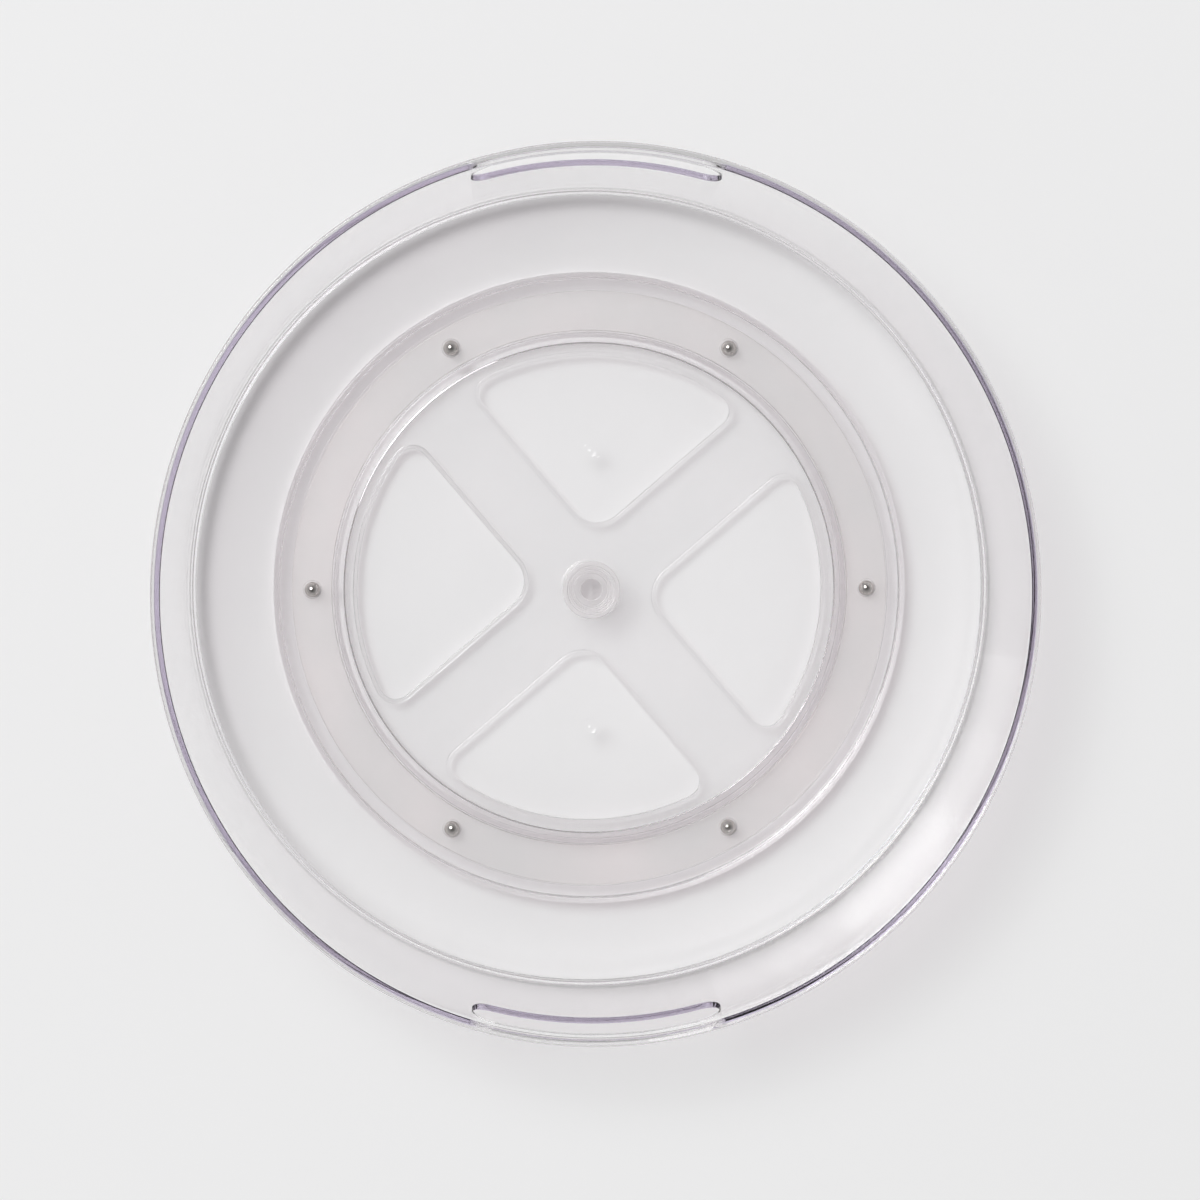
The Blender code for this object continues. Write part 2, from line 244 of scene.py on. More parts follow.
# How much lamp light the plastic lets through: upright faces, the wall, slanted faces. The bands are in
# absolute normal Z, and from LEVEL_START on a face passes all of it.
TRAY_PASS = ((0.27, 0.25, 0.26), (0.93, 0.915, 0.922), (0.43, 0.40, 0.415))
BASE_PASS = ((0.72, 0.69, 0.70), (0.66, 0.63, 0.64), (0.62, 0.59, 0.60))
HUB_PASS = ((0.66, 0.64, 0.65), (0.70, 0.68, 0.69), (0.78, 0.76, 0.77))
UPRIGHT_END = 0.08
WALL_BAND = (0.15, 0.30)
SLANT_BAND = (0.42, 0.90)
LEVEL_START = 0.985
GLINT_ROUGHNESS = 0.3
GLINT_POWER = 5.0
GLINT_BASE = 0.04

# Where masks on the tray fade in or out: the first two in absolute normal, the others in metres.
LEVEL_FADE = (0.35, 0.6)
EDGEWISE_FADE = (0.45, 0.7)
RIM_INNER_FADE = (RIM_RADIUS - 1.4 * MM, RIM_RADIUS - 1.1 * MM)
RIM_TOP_FADE = (RIM_Z - 0.8 * MM, RIM_Z - 0.3 * MM)
BESIDE_SLOT_FADE = (SLOT_WIDTH / 2 - 2 * MM, SLOT_WIDTH / 2 + 1 * MM)
SLOT_LOW_FADE = (SLOT_LOW_Z - 1.5 * MM, SLOT_LOW_Z - 1.0 * MM)
SLOT_MIDDLE_FADE = (SLOT_HIGH_Z - 6.0 * MM, SLOT_HIGH_Z - 5.0 * MM)
SLOT_HIGH_FADE = (SLOT_HIGH_Z + 1.0 * MM, SLOT_HIGH_Z + 1.5 * MM)
SLOT_END_FADE = (SLOT_WIDTH / 2 - 7.0 * MM, SLOT_WIDTH / 2 - 6.0 * MM)
PAST_SLOT_FADE = (SLOT_WIDTH / 2 + 1.0 * MM, SLOT_WIDTH / 2 + 2.0 * MM)
NEAR_WALL_FADE = (100.0 * MM, 110.0 * MM)
SLOT_END_HAZE = 0.9

# Steel of the balls.
STEEL_TINTS = ((0.56, 0.53, 0.51, 1.0), (0.66, 0.64, 0.62, 1.0))
STEEL_SMEAR_SCALE = 700.0
STEEL_SMEAR_DETAIL = 3.0
STEEL_SMEAR_BAND = (0.3, 0.7)
STEEL_HAZE = (0.03, 0.08)
STEEL_SCRATCH_SCALE = 1500.0
STEEL_SCRATCH_STRETCH = 20.0
STEEL_SCRATCH_TURN = 0.3
STEEL_RELIEF = 0.08
STEEL_RELIEF_DEPTH = 0.005 * MM

# Light paths through the stacked clear walls.
CLEAR_BOUNCES = 24
GLOSSY_BOUNCES = 8
TRANSPARENT_BOUNCES = 48

BLACK = (0.0, 0.0, 0.0, 1.0)
WHITE = (1.0, 1.0, 1.0, 1.0)


# ---------------------------------------------------------------- shapes


def rounded(corners, closed=True):
    """A profile with its corners rounded. Each corner is (radius, height) or (radius, height, round)."""
    points = []
    count = len(corners)
    for index, corner in enumerate(corners):
        here = Vector(corner[:2])
        bend = corner[2] if len(corner) > 2 else 0.0
        is_end = not closed and index in (0, count - 1)
        if bend == 0.0 or is_end:
            points.append(tuple(here))
            continue
        before = (Vector(corners[index - 1][:2]) - here).normalized()
        after = (Vector(corners[(index + 1) % count][:2]) - here).normalized()
        half = before.angle(after) / 2
        reach = bend / math.tan(half)
        centre = here + (before + after).normalized() * (bend / math.sin(half))
        start = here + before * reach - centre
        turn = math.pi - 2 * half
        side = 1.0 if before.cross(after) < 0.0 else -1.0
        for step in range(ROUND_STEPS + 1):
            angle = side * turn * step / ROUND_STEPS
            spin = Matrix.Rotation(angle, 2)
            points.append(tuple(centre + spin @ start))
    return points


def mesh_object(name, bm):
    mesh = bpy.data.meshes.new(name)
    bm.to_mesh(mesh)
    bm.free()
    obj = bpy.data.objects.new(name, mesh)
    bpy.context.scene.collection.objects.link(obj)
    return obj


def turned(name, profile, steps, closed=True):
    """A solid of revolution about Z, from a profile that runs clockwise with the radius to the right."""
    bm = bmesh.new()
    rings = []
    for radius, height in profile:
        if radius < 1e-9:
            rings.append([bm.verts.new((0.0, 0.0, height))] * steps)
            continue
        angles = [math.tau * step / steps for step in range(steps)]
        rings.append([bm.verts.new((radius * math.cos(a), radius * math.sin(a), height)) for a in angles])
    pairs = list(zip(rings, rings[1:]))
    if closed:
        pairs.append((rings[-1], rings[0]))
    for upper, lower in pairs:
        for step in range(steps):
            after = (step + 1) % steps
            corners = [upper[step], lower[step], lower[after], upper[after]]
            corners = list(dict.fromkeys(corners))
            if len(corners) > 2:
                bm.faces.new(corners)
    return mesh_object(name, bm)


def lofted(name, sections, closed):
    """A solid through outlines of equal length. Open stacks get caps, closed ones join end to end."""
    bm = bmesh.new()
    loops = [[bm.verts.new(point) for point in section] for section in sections]
    pairs = list(zip(loops, loops[1:]))
    if closed:
        pairs.append((loops[-1], loops[0]))
    count = len(loops[0])
    for one, two in pairs:
        for index in range(count):
            after = (index + 1) % count
            bm.faces.new([one[index], one[after], two[after], two[index]])
    if not closed:
        bm.faces.new(loops[0])
        bm.faces.new(loops[-1])
    bmesh.ops.recalc_face_normals(bm, faces=bm.faces)
    if bm.calc_volume(signed=True) < 0.0:
        bmesh.ops.reverse_faces(bm, faces=bm.faces)
    return mesh_object(name, bm)


def combine(obj, others, operation):
    """Boolean with each of the others in turn, applied at once. The others are used up."""
    for other in others:
        modifier = obj.modifiers.new("shape", "BOOLEAN")
        modifier.solver = "EXACT"
        modifier.operation = operation
        modifier.object = other
        depsgraph = bpy.context.evaluated_depsgraph_get()
        mesh = bpy.data.meshes.new_from_object(obj.evaluated_get(depsgraph))
        obj.modifiers.clear()
        obj.data = mesh
        bpy.data.objects.remove(other, do_unlink=True)


def clean(obj):
    """Weld slivers, turn faces outwards and shade the surface smooth up to its real edges."""
    bm = bmesh.new()
    bm.from_mesh(obj.data)
    bmesh.ops.remove_doubles(bm, verts=bm.verts, dist=WELD_DISTANCE)
    bmesh.ops.dissolve_degenerate(bm, edges=bm.edges, dist=SLIVER_DISTANCE)
    bmesh.ops.recalc_face_normals(bm, faces=bm.faces)
    bm.to_mesh(obj.data)
    bm.free()
    obj.data.shade_smooth()
    obj.data.set_sharp_from_angle(angle=SMOOTH_ANGLE)
    weighting = obj.modifiers.new("flat faces stay flat", "WEIGHTED_NORMAL")
    weighting.keep_sharp = True
    weighting.weight = 100
    depsgraph = bpy.context.evaluated_depsgraph_get()
    mesh = bpy.data.meshes.new_from_object(obj.evaluated_get(depsgraph))
    obj.modifiers.clear()
    obj.data = mesh


def arc(centre, radius, start, end, steps):
    angles = [start + (end - start) * step / steps for step in range(steps + 1)]
    return [(centre[0] + radius * math.cos(a), centre[1] + radius * math.sin(a)) for a in angles]


# ---------------------------------------------------------------- tray


def wall_radius(height):
    """Outer radius of the tray's wall before the rim's oval."""
    low_z = TRAY_FLOOR_Z
    high_z = RIM_Z - RIM_BEAD_HEIGHT - RIM_BEAD_STEP
    low_radius = FOOT_RADIUS + WALL_PAST_FOOT
    high_radius = RIM_RADIUS - RIM_BEAD_STEP
    return low_radius + (high_radius - low_radius) * (height - low_z) / (high_z - low_z)


def oval(height):
    """How much wider than a circle the wall is along Y at a height."""
    share = (height - TRAY_FLOOR_Z) / (RIM_Z - TRAY_FLOOR_Z)
    return 1.0 + (RIM_OVAL - 1.0) * min(max(share, 0.0), 1.0)


def tray_profile():
    """Down the bore's seat and floor, up the wall, over the bead, and back under by the foot."""
    bead_z = RIM_Z - RIM_BEAD_HEIGHT
    wall_top_z = bead_z - RIM_BEAD_STEP
    corners = [
        (TRAY_BORE_RADIUS, HUB_SEAT_Z, FINE_ROUND),
        (HUB_SEAT_RADIUS, HUB_SEAT_Z, CRISP_ROUND),
        (HUB_SEAT_RADIUS, TRAY_FLOOR_Z, CRISP_ROUND),
        (wall_radius(TRAY_FLOOR_Z) - WALL_THICKNESS, TRAY_FLOOR_Z, FLOOR_FILLET),
        (RIM_RADIUS - RIM_WIDTH, wall_top_z),
        (RIM_RADIUS - RIM_WIDTH, RIM_Z, EDGE_ROUND),
        (RIM_RADIUS, RIM_Z, BROAD_ROUND),
        (RIM_RADIUS, bead_z, SOFT_ROUND),
        (RIM_RADIUS - RIM_BEAD_STEP, wall_top_z, SOFT_ROUND),
        (wall_radius(TRAY_FLOOR_Z), TRAY_FLOOR_Z, WALL_FOOT_ROUND),
        (FOOT_RADIUS, TRAY_UNDERSIDE_Z, ROOT_ROUND),
        (FOOT_RADIUS, FOOT_Z, FOOT_ROUND),
        (FOOT_RADIUS - FOOT_WIDTH, FOOT_Z, FOOT_ROUND),
        (FOOT_RADIUS - FOOT_WIDTH, TRAY_UNDERSIDE_Z, SOFT_ROUND),
        (TRAY_BORE_RADIUS, TRAY_UNDERSIDE_Z, FINE_ROUND),
    ]
    return rounded(corners)


def slot_outline(growth):
    """Round-ended slot as (x, z) points, grown outwards by growth."""
    radius = (SLOT_HIGH_Z - SLOT_LOW_Z) / 2
    centre_x = SLOT_WIDTH / 2 - radius
    centre_z = (SLOT_HIGH_Z + SLOT_LOW_Z) / 2
    quarter = math.radians(90.0)
    span = SLOT_SPAN_STEPS
    straight = [(centre_x - 2 * centre_x * i / span, centre_z + radius + growth) for i in range(1, span)]
    right = arc((centre_x, centre_z), radius + growth, -quarter, quarter, SLOT_END_STEPS)
    left = arc((-centre_x, centre_z), radius + growth, quarter, 3 * quarter, SLOT_END_STEPS)
    below = [(-x, 2 * centre_z - z) for x, z in straight]
    return right + straight + left + below


def slot_cutter(name, side):
    """A cutter that follows the curved wall and flares at both faces, which rounds the slot's edges."""
    half = WALL_THICKNESS / 2
    edge = SLOT_EDGE_ROUND
    depths = []
    for share in SLOT_EDGE_SHARES:
        growth = edge - math.sqrt(edge**2 - (edge - edge * share) ** 2)
        depths.append((half - edge * share, growth))
    widest = depths[0][1]
    outside = [(half + SLOT_CUT_REACH, widest + SLOT_CUT_REACH), (half, widest + SLOT_CUT_LIP)]
    outer = outside + depths
    levels = outer + [(-depth, growth) for depth, growth in reversed(outer)]
    sections = []
    for depth, growth in levels:
        section = []
        for x, z in slot_outline(growth):
            middle = wall_radius(z) - half
            y = math.sqrt(middle**2 - x**2) * oval(z) + depth
            section.append((x, side * y, z))
        sections.append(section)
    return lofted(name, sections, closed=False)


def moved(obj, x, y):
    """The object with its mesh shifted sideways."""
    for vertex in obj.data.vertices:
        vertex.co.x += x
        vertex.co.y += y
    return obj


def floor_mark(name, y):
    """The raised ring of a mark on the tray's floor, with its root sunk into the floor."""
    top_z = TRAY_FLOOR_Z + MARK_HEIGHT
    root_z = TRAY_FLOOR_Z - MARK_ROOT
    corners = [
        (MARK_INNER_RADIUS, top_z, CRISP_ROUND),
        (MARK_OUTER_RADIUS, top_z, CRISP_ROUND),
        (MARK_OUTER_RADIUS + MARK_DRAFT, root_z),
        (MARK_INNER_RADIUS - MARK_DRAFT, root_z),
    ]
    return moved(turned(name, rounded(corners), SMALL_STEPS), 0.0, y)


def floor_spot(name, y):
    """The domed spot in the middle of a mark."""
    root_z = TRAY_FLOOR_Z - MARK_ROOT
    profile = [(0.0, TRAY_FLOOR_Z + SPOT_HEIGHT)]
    for angle in SPOT_ANGLES:
        profile.append((SPOT_RADIUS * math.sin(angle), TRAY_FLOOR_Z + SPOT_HEIGHT * math.cos(angle)))
    profile += [(SPOT_RADIUS, root_z), (0.0, root_z)]
    return moved(turned(name, profile, SMALL_STEPS, closed=False), 0.0, y)


def build_tray():
    tray = turned("tray_clear", tray_profile(), RING_STEPS)
    for vertex in tray.data.vertices:
        vertex.co.y *= oval(vertex.co.z)
    combine(tray, [slot_cutter("slot_front", -1), slot_cutter("slot_back", 1)], "DIFFERENCE")
    for name, y in (("mark_front", MARK_FRONT_Y), ("mark_back", MARK_BACK_Y)):
        combine(tray, [floor_mark(name, y), floor_spot(name + "_spot", y)], "UNION")
    clean(tray)
    return tray


# ---------------------------------------------------------------- base


def base_profile():
    """From the post out over the plate and the ball channel, and back under the plate."""
    corners = [
        (POST_BORE_RADIUS, base_high.z, FINE_ROUND),
        (POST_RADIUS, base_high.z, FINE_ROUND),
        (POST_RADIUS, PLATE_TOP_Z, ROOT_ROUND),
        (PLATE_WALL_RADIUS, PLATE_TOP_Z, SMALL_ROUND),
        (CHANNEL_INNER_RADIUS - INNER_WALL, INNER_WALL_Z, EDGE_ROUND),
        (CHANNEL_INNER_RADIUS, INNER_WALL_Z, BROAD_ROUND),
        (CHANNEL_INNER_RADIUS, CHANNEL_FLOOR_Z, SMALL_ROUND),
        (SHOULDER_RADIUS, CHANNEL_FLOOR_Z, SHOULDER_ROUND),
        (SHOULDER_RADIUS, SHOULDER_Z, SMALL_ROUND),
        (BASE_RADIUS - OUTER_WALL, SHOULDER_Z, SMALL_ROUND),
        (BASE_RADIUS - OUTER_WALL, OUTER_WALL_Z, EDGE_ROUND),
        (BASE_RADIUS, OUTER_WALL_Z, BROAD_ROUND),
        (BASE_RADIUS, 0.0, FOOT_ROUND),
        (CHANNEL_INNER_RADIUS - INNER_WALL, 0.0, FOOT_ROUND),
        (CHANNEL_INNER_RADIUS - INNER_WALL, PLATE_LOW_Z, EDGE_ROUND),
        (POST_FOOT_RADIUS, PLATE_LOW_Z, SOFT_ROUND),
        (POST_FOOT_RADIUS, POST_FOOT_Z, SMALL_ROUND),
        (BARB_POCKET_RADIUS, POST_FOOT_Z, FINE_ROUND),
        (BARB_POCKET_RADIUS, BARB_POCKET_Z, FINE_ROUND),
        (POST_BORE_RADIUS, BARB_POCKET_Z, FINE_ROUND),
    ]
    return rounded(corners)


def window_outline(growth):
    """A window between two crossed spokes, pointing along +X, grown outwards all round by growth."""
    eighth = math.radians(45.0)
    half_width = SPOKE_HALF_WIDTH - growth
    radius = WINDOW_RADIUS + growth
    tip_round = WINDOW_TIP_ROUND + growth
    corner_round = WINDOW_CORNER_ROUND + growth
    tip_x = math.sqrt(2.0) * (half_width + tip_round)
    corner_reach = radius - corner_round
    corner_angle = eighth - math.asin((half_width + corner_round) / corner_reach)
    corner = (corner_reach * math.cos(corner_angle), corner_reach * math.sin(corner_angle))
    upper = arc((tip_x, 0.0), tip_round, math.pi, 3 * eighth, WINDOW_TIP_STEPS)
    upper += arc(corner, corner_round, 3 * eighth, corner_angle, WINDOW_CORNER_STEPS)
    upper += arc((0.0, 0.0), radius, corner_angle, 0.0, WINDOW_RIM_STEPS)[1:]
    lower = [(x, -y) for x, y in reversed(upper[1:-1])]
    return upper + lower


def window_section(growth, height, turn):
    return [turn @ Vector((x, y, height)) for x, y in window_outline(growth)]


def window_rib(name, turn):
    """The rounded frame around a window: its section runs up the outside, over and down the inside."""
    inner = -RIB_INSET
    root_z = PLATE_LOW_Z + RIB_ROOT
    section = rounded(
        [
            (RIB_WIDTH, root_z),
            (RIB_WIDTH, RIB_TOP_Z, RIB_TOP_ROUND),
            (inner, RIB_TOP_Z, EDGE_ROUND),
            (inner, PLATE_LOW_Z, SMALL_ROUND),
            (inner + RIB_TOE, PLATE_LOW_Z),
            (inner + RIB_TOE, root_z),
        ]
    )
    return lofted(name, [window_section(growth, z, turn) for growth, z in section], closed=True)


def window_cutter(name, turn):
    sections = [window_section(0.0, z, turn) for z in (WINDOW_CUT_LOW_Z, WINDOW_CUT_HIGH_Z)]
    return lofted(name, sections, closed=False)


def build_base():
    base = turned("base_clear", base_profile(), RING_STEPS)
    turns = [Matrix.Rotation(WINDOW_TURN + math.tau * i / WINDOW_COUNT, 3, "Z") for i in range(WINDOW_COUNT)]
    cutters = [window_cutter(f"window_{i}", turn) for i, turn in enumerate(turns)]
    combine(base, cutters, "DIFFERENCE")
    ribs = [window_rib(f"rib_{i}", turn) for i, turn in enumerate(turns)]
    combine(base, ribs, "UNION")
    clean(base)
    return base


# ---------------------------------------------------------------- cage, balls, hub


def ball_hole(name, centre):
    """A cutter for one hole of the cage, flared above and below for the chamfers."""
    chamfer_radius = BALL_HOLE_RADIUS + HOLE_CHAMFER
    profile = [
        (0.0, cage_high.z + HOLE_CUT_REACH),
        (chamfer_radius + HOLE_CUT_REACH, cage_high.z + HOLE_CUT_REACH),
        (chamfer_radius, cage_high.z),
        (BALL_HOLE_RADIUS, cage_high.z - HOLE_CHAMFER),
        (BALL_HOLE_RADIUS, cage_low.z + HOLE_CHAMFER),
        (chamfer_radius, cage_low.z),
        (chamfer_radius + HOLE_CUT_REACH, cage_low.z - HOLE_CUT_REACH),
        (0.0, cage_low.z - HOLE_CUT_REACH),
    ]
    return moved(turned(name, profile, SMALL_STEPS, closed=False), centre.x, centre.y)


def build_cage():
    corners = [
        (CAGE_INNER_RADIUS, cage_high.z, EDGE_ROUND),
        (cage_high.x, cage_high.z, EDGE_ROUND),
        (cage_high.x, cage_low.z, EDGE_ROUND),
        (CAGE_INNER_RADIUS, cage_low.z, EDGE_ROUND),
    ]
    cage = turned("ball_cage_frosted", rounded(corners), RING_STEPS)
    holes = []
    for index, name in enumerate(BALL_NAMES):
        low, high = (Vector(corner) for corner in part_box(name))
        holes.append(ball_hole(f"hole_{index}", (low + high) / 2))
    combine(cage, holes, "DIFFERENCE")
    clean(cage)
    return cage


def build_ball(name):
    """A ball as a subdivided cube cast onto a sphere, which has no poles."""
    low, high = (Vector(corner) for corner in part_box(name))
    centre = (low + high) / 2
    bm = bmesh.new()
    bmesh.ops.create_cube(bm, size=2.0)
    bmesh.ops.subdivide_edges(bm, edges=bm.edges, cuts=BALL_CUTS, use_grid_fill=True)
    for vertex in bm.verts:
        vertex.co = centre + vertex.co.normalized() * BALL_RADIUS
    ball = mesh_object(name + "_steel", bm)
    ball.data.shade_smooth()
    return ball


def hub_profile():
    """Dished top in fine turned steps, the cap's rim, and the stem with its barb."""
    top_z = hub_high.z
    cap_radius = hub_high.x
    corners = [(0.0, top_z - HUB_STEPS[0][1] * MM)]
    for (radius, depth), (_, next_depth) in zip(HUB_STEPS, HUB_STEPS[1:] + ((0.0, 0.0),)):
        corners.append((radius * MM, top_z - depth * MM, HUB_STEP_ROUND))
        corners.append((radius * MM + HUB_STEP_SLANT, top_z - next_depth * MM, HUB_STEP_ROUND))
    corners += [
        (cap_radius, top_z, SMALL_ROUND),
        (cap_radius, CAP_LOW_Z, CRISP_ROUND),
        (STEM_RADIUS, CAP_LOW_Z, SMALL_ROUND),
        (STEM_RADIUS, BARB_TOP_Z, CRISP_ROUND),
        (BARB_RADIUS, BARB_TOP_Z, CRISP_ROUND),
        (BARB_RADIUS, BARB_TOP_Z - BARB_LIP, CRISP_ROUND),
        (STEM_RADIUS, hub_low.z, FINE_ROUND),
        (0.0, hub_low.z),
    ]
    return rounded(corners, closed=False)


def build_hub():
    hub = turned("hub_button_clear", hub_profile(), SMALL_STEPS * 2, closed=False)
    bm = bmesh.new()
    bmesh.ops.create_cube(bm, size=1.0)
    for vertex in bm.verts:
        vertex.co.x *= STEM_SPLIT_WIDTH
        vertex.co.y *= 4 * BARB_RADIUS
        vertex.co.z *= 2 * STEM_SPLIT_TOP_Z
    combine(hub, [mesh_object("stem_split", bm)], "DIFFERENCE")
    clean(hub)
    return hub


# ---------------------------------------------------------------- materials


class Nodes:
    """Adds nodes to a material and links them, with sockets given by name."""

    def __init__(self, name):
        self.material = bpy.data.materials.new(name)
        self.material.use_nodes = True
        self.tree = self.material.node_tree
        self.tree.nodes.clear()
        self.output = self.add("ShaderNodeOutputMaterial")

    def add(self, kind, settings=None, **inputs):
        node = self.tree.nodes.new(kind)
        for key, value in (settings or {}).items():
            setattr(node, key, value)
        for key, value in inputs.items():
            self.set(node, key.replace("_", " "), value)
        return node

    def set(self, node, socket, value):
        target = node.inputs[socket]
        if isinstance(value, bpy.types.NodeSocket):
            self.tree.links.new(value, target)
        else:
            target.default_value = value

    def math(self, operation, first, second=0.0, third=0.0):
        node = self.add("ShaderNodeMath", {"operation": operation})
        for index, value in enumerate((first, second, third)):
            self.set(node, index, value)
        return node.outputs[0]

    def object_coordinates(self):
        return self.add("ShaderNodeTexCoord").outputs["Object"]

    def noise(self, vector, scale, detail=2.0):
        node = self.add("ShaderNodeTexNoise", Scale=scale, Detail=detail)
        self.set(node, "Vector", vector)
        return node.outputs["Fac"]

    def ramp(self, value, low, high, to_low, to_high):
        node = self.add("ShaderNodeMapRange")
        for socket, number in (
            ("Value", value),
            ("From Min", low),
            ("From Max", high),
            ("To Min", to_low),
            ("To Max", to_high),
        ):
            self.set(node, socket, number)
        return node.outputs[0]

    def stops(self, value, table):
        """A colour ramp with the stops (position, colour)."""
        node = self.add("ShaderNodeValToRGB")
        self.set(node, "Fac", value)
        places = node.color_ramp.elements
        while len(places) < len(table):
            places.new(0.5)
        for place, (position, colour) in zip(places, table):
            place.position = position
            place.color = (*colour, 1.0)
        return node.outputs["Color"]

    def blend(self, factor, first, second):
        node = self.add("ShaderNodeMix", {"data_type": "RGBA"})
        self.set(node, 0, factor)
        self.set(node, 6, first)
        self.set(node, 7, second)
        return node.outputs[2]


def scratches(nodes, vector, scale, stretch, turn):
    """Hairline scratches that all run one way: stretched noise, cut to its thin bright crests."""
    mapping = nodes.add("ShaderNodeMapping")
    nodes.set(mapping, "Vector", vector)
    mapping.inputs["Rotation"].default_value = (0.0, 0.0, turn)
    mapping.inputs["Scale"].default_value = (1.0, stretch, 1.0)
    value = nodes.noise(mapping.outputs[0], scale, 1.0)
    return nodes.ramp(value, *SCRATCH_CREST, 0.0, 1.0)


def lamp_side(nodes, uprights, walls, slants):
    """How lamps see the plastic: level faces pass all light, and steeper ones throw some of it aside."""
    upright = nodes.add("ShaderNodeSeparateXYZ")
    nodes.set(upright, "Vector", nodes.add("ShaderNodeTexCoord").outputs["Normal"])
    level = nodes.math("ABSOLUTE", upright.outputs["Z"])
    share = nodes.stops(
        level,
        [
            (UPRIGHT_END, uprights),
            (WALL_BAND[0], walls),
            (WALL_BAND[1], walls),
            (SLANT_BAND[0], slants),
            (SLANT_BAND[1], slants),
            (LEVEL_START, WHITE[:3]),
        ],
    )
    passed = nodes.add("ShaderNodeBsdfTransparent")
    nodes.set(passed, "Color", share)
    facing = nodes.add("ShaderNodeLayerWeight", Blend=0.5).outputs["Facing"]
    grazing = nodes.math("POWER", facing, GLINT_POWER)
    mirrored = nodes.math("MULTIPLY_ADD", grazing, 1.0 - GLINT_BASE, GLINT_BASE)
    glint = nodes.add("ShaderNodeBsdfAnisotropic", Roughness=GLINT_ROUGHNESS)
    nodes.set(glint, "Color", nodes.blend(mirrored, BLACK, WHITE))
    both = nodes.add("ShaderNodeAddShader")
    nodes.set(both, 0, passed.outputs[0])
    nodes.set(both, 1, glint.outputs[0])
    return both.outputs[0]


def painted_edge_shade(nodes):
    """1 where a violet shade is painted: where one looks down along the tray's wall, on the rim's inner half
    and on the slots' lower faces.
    """
    place = nodes.add("ShaderNodeSeparateXYZ")
    nodes.set(place, "Vector", nodes.object_coordinates())
    normal = nodes.add("ShaderNodeSeparateXYZ")
    nodes.set(normal, "Vector", nodes.add("ShaderNodeTexCoord").outputs["Normal"])
    level = nodes.ramp(nodes.math("ABSOLUTE", normal.outputs["Z"]), *LEVEL_FADE, 0.0, 1.0)
    x, y, z = place.outputs
    round_y = nodes.math("DIVIDE", y, RIM_OVAL)
    radius = nodes.math("SQRT", nodes.math("MULTIPLY_ADD", x, x, nodes.math("MULTIPLY", round_y, round_y)))
    inner = nodes.ramp(radius, *RIM_INNER_FADE, 1.0, 0.0)
    beside = nodes.ramp(nodes.math("ABSOLUTE", x), *BESIDE_SLOT_FADE, 0.0, 1.0)
    rim = nodes.math("MULTIPLY", nodes.ramp(z, *RIM_TOP_FADE, 0.0, 1.0), beside)
    above = nodes.ramp(z, *SLOT_LOW_FADE, 0.0, 1.0)
    below = nodes.ramp(z, *SLOT_MIDDLE_FADE, 1.0, 0.0)
    slot = nodes.math("MULTIPLY", above, below)
    return nodes.math("MULTIPLY", nodes.math("MULTIPLY", level, inner), nodes.math("MAXIMUM", rim, slot))


def slot_end_share(nodes):
    """1 on the upper half of the finger slots' round ends, which the mould leaves matt."""
    place = nodes.add("ShaderNodeSeparateXYZ")
    nodes.set(place, "Vector", nodes.object_coordinates())
    normal = nodes.add("ShaderNodeSeparateXYZ")
    nodes.set(normal, "Vector", nodes.add("ShaderNodeTexCoord").outputs["Normal"])
    across = nodes.ramp(nodes.math("ABSOLUTE", place.outputs["X"]), *SLOT_END_FADE, 0.0, 1.0)
    beyond = nodes.ramp(nodes.math("ABSOLUTE", place.outputs["X"]), *PAST_SLOT_FADE, 1.0, 0.0)
    along = nodes.ramp(nodes.math("ABSOLUTE", place.outputs["Y"]), *NEAR_WALL_FADE, 0.0, 1.0)
    high = nodes.ramp(place.outputs["Z"], *SLOT_MIDDLE_FADE, 0.0, 1.0)
    low = nodes.ramp(place.outputs["Z"], *SLOT_HIGH_FADE, 1.0, 0.0)
    edgewise = nodes.ramp(nodes.math("ABSOLUTE", normal.outputs["Y"]), *EDGEWISE_FADE, 1.0, 0.0)
    share = across
    for other in (beyond, along, high, low, edgewise):
        share = nodes.math("MULTIPLY", share, other)
    return share


